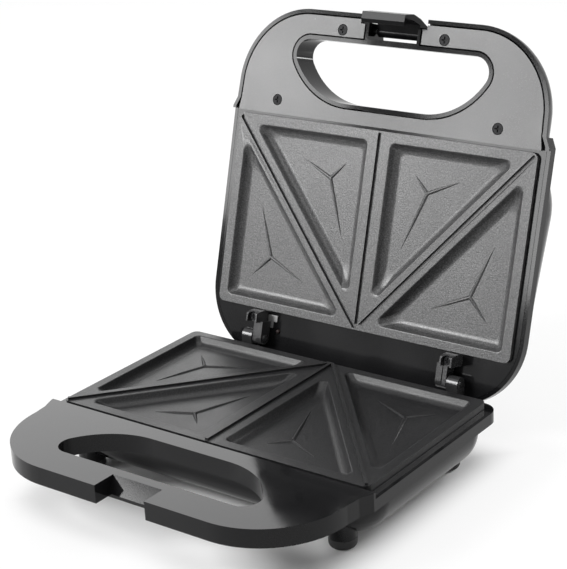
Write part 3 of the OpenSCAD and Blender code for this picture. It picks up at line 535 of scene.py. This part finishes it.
@dataclass
class CookingPlate:
    """A cast plate with hollow-footed pockets and roof-shaped toasting ribs, in place of the plain one.

    Its sizes are in millimetres.

    Attributes:
        node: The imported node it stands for.
        name: Name of the piece.
        body: The body it rides on.
        place: Its frame.
        finish: Name of its finish.
        profile: Section of its pockets.
        rib_w: Width of a rib at the middle of a pocket.
        rib_h: Height of a rib.
        rib_back: How far a rib starts behind the middle, as a share of its width.
        rib_sunk: How deep its foot lies under the floor.
        rib_waist: Its width halfway, as a share of its width.
        rib_tip: Its width and height at the tip, as shares.
        front_reach: How far the ribs of a front pocket run to its outer, rear and inner corner, as shares.
        side_reach: How far those of a side pocket run to its outer rear corner and to the others.
        edge: Width of the rounding of its other edges.
        flat: Angle in degrees up to which the node's facets are merged.
        arc_steps: Steps round a corner of a pocket.
        apex_y: Where the diagonal lines meet at the rear.
        diagonal: Slope of those lines.
        collar: Height of the node's collars round the pockets, which are cut level with the land.
    """

    node: str
    name: str
    body: Body
    place: Matrix
    finish: str
    profile: PocketProfile = field(default_factory=PocketProfile)
    rib_w: float = 2.7
    rib_h: float = 0.95
    rib_back: float = 0.3
    rib_sunk: float = 0.1
    rib_waist: float = 0.72
    rib_tip: tuple[float, float] = (0.12, 0.25)
    front_reach: tuple[float, float, float] = (0.355, 0.49, 0.37)
    side_reach: tuple[float, float] = (0.46, 0.42)
    edge: float = 0.4
    flat: float = 0.4
    arc_steps: int = 8
    apex_y: float = -17.75
    diagonal: float = 1.1436
    collar: float = 1.0

    def cleaned(self, source: bpy.types.Object) -> bmesh.types.BMesh:
        """Copies the node into the plate's frame, with large flat faces and without its collars.

        Args:
            source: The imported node, which stays as it is.

        Returns:
            The copy.
        """
        shape = bmesh.new()
        shape.from_mesh(source.data)
        shape.transform(self.place.inverted())
        bmesh.ops.remove_doubles(shape, verts=shape.verts, dist=WELD)
        bmesh.ops.dissolve_limit(shape, angle_limit=math.radians(self.flat), verts=shape.verts, edges=shape.edges)
        for vert in shape.verts:
            if abs(vert.co.z + self.collar) < LEVEL:
                vert.co.z = 0.0
        bmesh.ops.remove_doubles(shape, verts=shape.verts, dist=WELD)
        shape.normal_update()
        return shape

    def open_pocket(self, shape: bmesh.types.BMesh,
                    seed: bmesh.types.BMFace) -> tuple[list[bmesh.types.BMEdge], list[Vector]]:
        """Takes the faces of one pocket away.

        Args:
            shape: The plate.
            seed: A face of the pocket's floor.

        Returns:
            The edges of its lip, and the corners where the lip's straight sides would meet.
        """
        inside, queue = {seed}, [seed]
        while queue:
            for edge in queue.pop().edges:
                for face in edge.link_faces:
                    if face not in inside and max(v.co.z for v in face.verts) > NEAR:
                        inside.add(face)
                        queue.append(face)
        rim = {e for f in inside for e in f.edges if any(g not in inside for g in e.link_faces)}
        lines: list[tuple[Vector, Vector]] = []
        for edge in sorted(rim, key=lambda e: -e.calc_length()):
            heading = (edge.verts[1].co - edge.verts[0].co).normalized()
            if len(lines) < 3 and all(abs(heading.dot(other)) < PARALLEL for _, other in lines):
                lines.append((edge.verts[0].co.copy(), heading))
        bmesh.ops.delete(shape, geom=list(inside), context="FACES")
        return [e for e in rim if e.is_valid], self.meetings(lines)

    @staticmethod
    def meetings(lines: Sequence[tuple[Vector, Vector]]) -> list[Vector]:
        """Returns the corners of the triangle that three lines make, anticlockwise."""
        corners = []
        for i in range(3):
            (p, u), (q, v) = lines[i], lines[(i + 1) % 3]
            cross = u.x * v.y - u.y * v.x
            along = ((q.x - p.x) * v.y - (q.y - p.y) * v.x) / cross
            corners.append(p + u * along)
        a, b, c = corners
        if (b - a).cross(c - a).z < 0.0:
            corners.reverse()
        return corners

    def ring(self, shape: bmesh.types.BMesh, corners: Sequence[Vector], inset: float,
             depth: float) -> list[bmesh.types.BMEdge]:
        """Adds one round-cornered triangle.

        Args:
            shape: The plate.
            corners: Sharp corners of the pocket's lip, anticlockwise.
            inset: How far the sides lie inside the lip.
            depth: How deep the ring lies.

        Returns:
            Its edges.
        """
        radius = self.profile.corner_r
        ring = []
        for i in range(3):
            before, here, after = corners[i - 1], corners[i], corners[(i + 1) % 3]
            u, v = (here - before).normalized(), (after - here).normalized()
            turn = u.angle(v)
            half = (math.pi - turn) / 2.0
            middle = here + (v - u).normalized() * ((inset + radius) / math.sin(half))
            start = math.atan2(-u.x, u.y)
            for k in range(self.arc_steps + 1):
                a = start + turn * k / self.arc_steps
                x, y = middle.x + radius * math.cos(a), middle.y + radius * math.sin(a)
                ring.append(shape.verts.new((x, y, depth)))
        return [shape.edges.new((ring[i - 1], ring[i])) for i in range(len(ring))]

    def line_pocket(self, shape: bmesh.types.BMesh, lip: list[bmesh.types.BMEdge],
                    corners: Sequence[Vector]) -> None:
        """Builds the curved wall and the floor of a pocket.

        Args:
            shape: The plate.
            lip: Edges of the pocket's lip.
            corners: Sharp corners of the lip, anticlockwise.
        """
        last = lip
        for inset, depth in self.profile.points():
            ring = self.ring(shape, corners, inset, depth)
            bmesh.ops.bridge_loops(shape, edges=last + ring)
            last = ring
        bmesh.ops.contextual_create(shape, geom=last)

    def rib(self, shape: bmesh.types.BMesh, middle: Vector, tip: Vector) -> None:
        """Adds one tapering rib with a narrow crest.

        Args:
            shape: The plate.
            middle: Middle of the pocket's floor.
            tip: Where the rib runs out.
        """
        ahead = (tip - middle).normalized()
        side = Vector((-ahead.y, ahead.x, 0.0))
        start = middle - ahead * self.rib_w * self.rib_back
        sunk = Vector((0.0, 0.0, self.rib_sunk))
        tip_w, tip_h = self.rib_tip
        section = []
        for share, height in RIB_SECTION:
            lift = Vector((0.0, 0.0, -height * self.rib_h))
            across = side * share * self.rib_w
            near = shape.verts.new(start + sunk + across + lift)
            mid = shape.verts.new(start.lerp(tip, 0.5) + sunk + across * self.rib_waist + lift)
            far = shape.verts.new(tip + sunk + across * tip_w + lift * tip_h)
            section.append((near, mid, far))
        for i in range(len(section)):
            a, b = section[i], section[(i + 1) % len(section)]
            shape.faces.new((a[0], b[0], b[1], a[1]))
            shape.faces.new((a[1], b[1], b[2], a[2]))
        shape.faces.new([v[0] for v in section])
        shape.faces.new([v[2] for v in section])

    def in_front(self, point: Vector) -> bool:
        """Tells whether a point lies in a front pocket and not in a side pocket."""
        return point.y < self.apex_y - abs(point.x) * self.diagonal

    def reach(self, corner: Vector, middle: Vector, front: bool) -> float:
        """Tells how far a rib runs.

        Args:
            corner: The corner that it runs towards.
            middle: Middle of its pocket.
            front: Whether that is a front pocket.

        Returns:
            The share of the way from the middle to the corner.
        """
        outer, rear = abs(corner.x) > abs(middle.x), corner.y > middle.y
        if not front:
            return self.side_reach[0] if outer and rear else self.side_reach[1]
        if outer:
            return self.front_reach[0]
        return self.front_reach[1] if rear else self.front_reach[2]

    def build(self, source: bpy.types.Object, finishes: Finishes) -> bpy.types.Object:
        """Makes the plate.

        Args:
            source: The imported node.
            finishes: The materials.

        Returns:
            The piece.
        """
        shape = self.cleaned(source)
        depth = self.profile.depth
        floors: dict[tuple[bool, bool], bmesh.types.BMFace] = {}
        for face in shape.faces:
            if all(abs(v.co.z - depth) < LEVEL for v in face.verts):
                centre = face.calc_center_median()
                key = (centre.x > 0.0, self.in_front(centre))
                if key not in floors or floors[key].calc_area() < face.calc_area():
                    floors[key] = face
        for (_, front), seed in floors.items():
            lip, corners = self.open_pocket(shape, seed)
            self.line_pocket(shape, lip, corners)
            for corner in corners:
                corner.z = depth
            far = [(corners[i - 2] - corners[i - 1]).length for i in range(3)]
            middle = sum((c * w for c, w in zip(corners, far)), Vector()) / sum(far)
            for corner in corners:
                self.rib(shape, middle, middle.lerp(corner, self.reach(corner, middle, front)))
        bmesh.ops.recalc_face_normals(shape, faces=shape.faces)
        shape.transform(self.place)
        bmesh.ops.recalc_face_normals(shape, faces=shape.faces)
        piece = add_piece(self.name, shape, self.body, finishes.get(self.finish))
        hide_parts(self.node)
        soften(piece, self.edge)
        return piece


# Corners further out than this share of a screw head's radius are its rim
HEAD_RIM = 0.95

# Angle in degrees from which the edges of a screw are shaded sharp
SCREW_ANGLE = 35


@dataclass
class CrossScrews:
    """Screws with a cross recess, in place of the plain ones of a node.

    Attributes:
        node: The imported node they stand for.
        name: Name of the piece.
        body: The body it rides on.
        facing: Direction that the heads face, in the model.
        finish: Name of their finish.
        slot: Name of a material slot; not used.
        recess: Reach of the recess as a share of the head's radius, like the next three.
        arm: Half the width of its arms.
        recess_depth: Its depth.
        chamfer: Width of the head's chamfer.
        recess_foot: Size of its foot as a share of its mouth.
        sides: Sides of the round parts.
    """

    node: str
    name: str
    body: Body
    facing: Vector
    finish: str = "dark_steel"
    slot: str = "dark_steel"
    recess: float = 0.62
    arm: float = 0.13
    recess_depth: float = 0.35
    chamfer: float = 0.1
    recess_foot: float = 0.55
    sides: int = 32

    def islands(self, source: bpy.types.Object) -> list[list[Vector]]:
        """Returns the corners of each separate screw of the node."""
        shape = bmesh.new()
        shape.from_mesh(source.data)
        bmesh.ops.remove_doubles(shape, verts=shape.verts, dist=WELD * MM)
        left, found = set(shape.verts), []
        while left:
            group, queue = [], [left.pop()]
            while queue:
                vert = queue.pop()
                group.append(vert.co.copy())
                for edge in vert.link_edges:
                    other = edge.other_vert(vert)
                    if other in left:
                        left.remove(other)
                        queue.append(other)
            found.append(group)
        shape.free()
        return found

    def screw(self, shape: bmesh.types.BMesh, corners: Sequence[Vector]) -> None:
        """Adds one screw where the plain one is.

        Args:
            shape: The piece.
            corners: Corners of the plain screw.
        """
        turn = self.facing.to_track_quat("Z", "Y").to_matrix().to_4x4()
        local = [turn.inverted() @ c for c in corners]
        top, low = max(c.z for c in local), min(c.z for c in local)
        face = [c for c in local if c.z > top - NEAR * MM]
        middle = Vector(((max(c.x for c in face) + min(c.x for c in face)) / 2,
                         (max(c.y for c in face) + min(c.y for c in face)) / 2, top))
        head_r = max((c - middle).length for c in face)
        under = min(c.z for c in local if (c.xy - middle.xy).length > head_r * HEAD_RIM)
        shank_r = max((c.xy - middle.xy).length for c in local if c.z < low + NEAR * MM)
        place = turn @ Matrix.Translation(middle)
        made: list[bmesh.types.BMVert] = []

        def loop(radius: float, z: float) -> list[bmesh.types.BMEdge]:
            """Adds a circle of that radius at that height and returns its edges."""
            verts = bmesh.ops.create_circle(shape, segments=self.sides, radius=radius,
                                            matrix=Matrix.Translation((0.0, 0.0, z)))["verts"]
            made.extend(verts)
            return list({e for v in verts for e in v.link_edges})

        reach, arm = head_r * self.recess, head_r * self.arm
        outline = [(arm, arm), (arm, reach), (-arm, reach), (-arm, arm), (-reach, arm), (-reach, -arm),
                   (-arm, -arm), (-arm, -reach), (arm, -reach), (arm, -arm), (reach, -arm), (reach, arm)]
        rings = []
        for share, z in ((1.0, 0.0), (self.recess_foot, -self.recess_depth * head_r)):
            verts = [shape.verts.new((x * share if abs(x) > arm else x, y * share if abs(y) > arm else y, z))
                     for x, y in outline]
            made.extend(verts)
            rings.append([shape.edges.new((verts[i - 1], verts[i])) for i in range(len(verts))])
        rim = loop(head_r * (1.0 - self.chamfer), 0.0)
        bmesh.ops.triangle_fill(shape, edges=rim + rings[0], use_dissolve=False)
        bmesh.ops.bridge_loops(shape, edges=rings[0] + rings[1])
        bmesh.ops.contextual_create(shape, geom=rings[1])
        for radius, z in ((head_r, -self.chamfer * head_r), (head_r, under - top), (shank_r, under - top),
                          (shank_r, low - top)):
            ring = loop(radius, z)
            bmesh.ops.bridge_loops(shape, edges=rim + ring)
            rim = ring
        bmesh.ops.contextual_create(shape, geom=rim)
        bmesh.ops.transform(shape, matrix=place, verts=made)

    def build(self, source: bpy.types.Object, finishes: Finishes) -> bpy.types.Object:
        """Makes the screws.

        Args:
            source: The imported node.
            finishes: The materials.

        Returns:
            The piece.
        """
        shape = bmesh.new()
        for corners in self.islands(source):
            self.screw(shape, corners)
        bmesh.ops.recalc_face_normals(shape, faces=shape.faces)
        piece = add_piece(self.name, shape, self.body, finishes.get(self.finish))
        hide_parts(self.node)
        edges = piece.modifiers.new("edges", "EDGE_SPLIT")
        edges.split_angle = math.radians(SCREW_ANGLE)
        return piece


# Studio


@dataclass
class Camera:
    """Camera solved from the photograph.

    Attributes:
        place: Where it stands, in metres.
        yaw: Turn to the left of +Y, in degrees.
        pitch: Tilt below the horizon, in degrees.
        roll: Turn about the line of sight, in degrees.
        focal: Focal length in pixels of the long side.
        long_side: Long side of the picture in pixels.
        sensor: Width of the sensor in millimetres.
        nearest: Distance in metres from which the camera sees.
    """

    place: tuple[float, float, float] = (0.545329, -0.704782, 0.443658)
    yaw: float = 37.48
    pitch: float = 20.585
    roll: float = -3.072
    focal: float = 1645.672
    long_side: int = 569
    sensor: float = 36.0
    nearest: float = 0.05

    def build(self) -> bpy.types.Object:
        """Makes the camera, makes it the scene's and returns it."""
        yaw, pitch, roll = (math.radians(a) for a in (self.yaw, self.pitch, self.roll))
        ahead = Vector((-math.sin(yaw) * math.cos(pitch), math.cos(yaw) * math.cos(pitch), -math.sin(pitch)))
        level = Vector((math.cos(yaw), math.sin(yaw), 0.0))
        upright = level.cross(ahead)
        right = level * math.cos(roll) + upright * math.sin(roll)
        up = upright * math.cos(roll) - level * math.sin(roll)
        data = bpy.data.cameras.new("camera")
        data.sensor_width = self.sensor
        data.lens = self.focal * self.sensor / self.long_side
        data.clip_start = self.nearest
        obj = bpy.data.objects.new("camera", data)
        bpy.context.scene.collection.objects.link(obj)
        axes = Matrix((right, up, -ahead)).transposed().to_4x4()
        obj.matrix_world = Matrix.Translation(self.place) @ axes
        bpy.context.scene.camera = obj
        return obj


@dataclass
class Lamp:
    """A soft box.

    Attributes:
        name: Its name.
        place: Where it hangs.
        aim: The point it faces.
        size: Width and height.
        power: Watts.
    """

    name: str
    place: tuple[float, float, float]
    aim: tuple[float, float, float]
    size: tuple[float, float]
    power: float

    def build(self) -> None:
        """Makes the light."""
        data = bpy.data.lights.new(self.name, "AREA")
        data.shape = "RECTANGLE"
        data.size, data.size_y = self.size
        data.energy = self.power
        obj = bpy.data.objects.new(self.name, data)
        bpy.context.scene.collection.objects.link(obj)
        obj.location = self.place
        obj.rotation_euler = (Vector(self.aim) - Vector(self.place)).to_track_quat("-Z", "Y").to_euler()


@dataclass
class Studio:
    """Pale floor, white surroundings and soft boxes.

    Attributes:
        floor_size: Side of the floor.
        floor_tones: Darkest and lightest grey of the floor.
        floor_clouds: Width of its clouds.
        floor_rough: Its roughness.
        surround: Strength of the surroundings' light.
        floor_glow: Share of its own light that the floor shows away from the object.
        painted_shade_patch: Half the width and depth, and the y of the middle, of the patch under the object
            without that light: painted shade.
        painted_shade_fade: Width of the patch's soft rim.
        lamps: The soft boxes.
    """

    floor_size: float = 8.0
    floor_tones: tuple[float, float] = (0.80, 0.82)
    floor_clouds: float = 0.2
    floor_rough: float = 0.6
    surround: float = 0.28
    floor_glow: float = 0.8
    painted_shade_patch: tuple[float, float, float] = (0.095, 0.085, -0.035)
    painted_shade_fade: float = 0.03
    lamps: Sequence[Lamp] = field(default_factory=lambda: (
        Lamp("sheen_left", (-1.60, -1.76, 0.66), (0.0, 0.1, 0.15), (0.46, 0.45), 8.8),
        Lamp("sheen_right", (-1.05, -2.10, 0.66), (0.0, 0.1, 0.15), (0.46, 0.45), 8.8),
        Lamp("key", (-1.35, -1.65, 1.45), (0.0, 0.05, 0.12), (1.0, 0.9), 60.0),
        Lamp("back_left", (-1.15, 1.15, 0.88), (0.0, -0.1, 0.04), (1.0, 0.75), 6.0),
        Lamp("back_right", (0.80, 1.35, 0.72), (0.05, 0.0, 0.1), (0.4, 0.95), 20.0),
        Lamp("overhead", (0.1, 0.0, 1.7), (0.0, 0.0, 0.0), (1.6, 1.6), 14.0),
    ))

    @staticmethod
    def seen(tree: bpy.types.NodeTree) -> Value:
        """Returns 1 where the picture, a gloss or a clear piece looks, and 0 elsewhere."""
        path = tree.nodes.new("ShaderNodeLightPath")
        camera, glossy, clear = (Value(tree, path.outputs[name])
                                 for name in ("Is Camera Ray", "Is Glossy Ray", "Is Transmission Ray"))
        return (camera + glossy + clear).clamped()

    def surroundings(self) -> None:
        """Makes the world: white where it is seen, dimmer as a light."""
        world = bpy.data.worlds.new("surround")
        world.use_nodes = True
        tree = world.node_tree
        back = tree.nodes["Background"]
        back.inputs["Color"].default_value = (1.0, 1.0, 1.0, 1.0)
        back.inputs["Strength"].default_value = self.surround
        white = tree.nodes.new("ShaderNodeBackground")
        white.inputs["Strength"].default_value = 1.0
        mix = tree.nodes.new("ShaderNodeMixShader")
        tree.links.new(self.seen(tree).socket, mix.inputs[0])
        tree.links.new(back.outputs[0], mix.inputs[1])
        tree.links.new(white.outputs[0], mix.inputs[2])
        tree.links.new(mix.outputs[0], tree.nodes["World Output"].inputs[0])
        bpy.context.scene.world = world

    def floor(self) -> None:
        """Makes the floor, which glows where it is seen, apart from a patch of painted shade under the object."""
        mesh = bpy.data.meshes.new("floor")
        shape = bmesh.new()
        bmesh.ops.create_grid(shape, x_segments=1, y_segments=1, size=self.floor_size / 2)
        shape.to_mesh(mesh)
        shape.free()
        floor = bpy.data.objects.new("floor", mesh)
        bpy.context.scene.collection.objects.link(floor)
        shader = Shader("floor")
        dark, light = ((tone,) * 3 for tone in self.floor_tones)
        shader.colour(shader.mix(shader.noise(self.floor_clouds), dark, light))
        shader.feed("Roughness", self.floor_rough)
        glow = shader.node("ShaderNodeEmission", values={"Strength": 1.0})
        # Under the object the floor goes without its glow, so it is darker there by where it lies: painted shade,
        # over which the real shadow shows in full.
        half_x, half_y, middle_y = self.painted_shade_patch
        across, along = shader.along(0).size() - half_x, (shader.along(1) - middle_y).size() - half_y
        clear = across.larger(along).ramp(0.0, self.painted_shade_fade)
        share = self.seen(shader.tree) * clear * self.floor_glow
        blend = shader.node("ShaderNodeMixShader", values={"Fac": share})
        shader.tree.links.new(shader.surface.outputs[0], blend.inputs[1])
        shader.tree.links.new(glow.outputs[0], blend.inputs[2])
        output = next(n for n in shader.tree.nodes if n.type == "OUTPUT_MATERIAL")
        shader.tree.links.new(blend.outputs[0], output.inputs["Surface"])
        floor.data.materials.append(shader.material)

    def build(self) -> None:
        """Makes the world, the floor and the lights."""
        self.surroundings()
        self.floor()
        for lamp in self.lamps:
            lamp.build()
        bpy.context.scene.view_settings.view_transform = "Standard"


def main() -> None:
    """Loads the frame, dresses it and sets up the studio."""
    logging.basicConfig(level=logging.INFO)
    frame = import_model()
    finishes = Finishes()
    nodes = frame["nodes"]
    Casework(nodes, finishes).dress()
    lid_face = (LID_PLACE.to_3x3() @ Vector((0.0, 0.0, -1.0))).normalized()
    for plate in (CookingPlate("lower_plate", "lower_plate_casting", Body.BASE, LOWER_PLACE, "nonstick_painted_shade"),
                  CookingPlate("upper_plate", "upper_plate_casting", Body.LID, UPPER_PLACE, "nonstick_upper")):
        plate.build(nodes[plate.node], finishes)
    for screws in (CrossScrews("cover_screws", "cover_cross_screws", Body.LID, lid_face),
                   CrossScrews("arm_screws", "arm_cross_screws", Body.LID, lid_face),
                   CrossScrews("grip_screws", "grip_cross_screws", Body.BASE, Vector((0.0, 0.0, -1.0))),
                   CrossScrews("bracket_screws", "bracket_cross_screws", Body.BASE, Vector((0.0, 1.0, 0.0)),
                               "steel", "steel")):
        screws.build(nodes[screws.node], finishes)
    Camera().build()
    Studio().build()


if __name__ == "__main__":
    main()
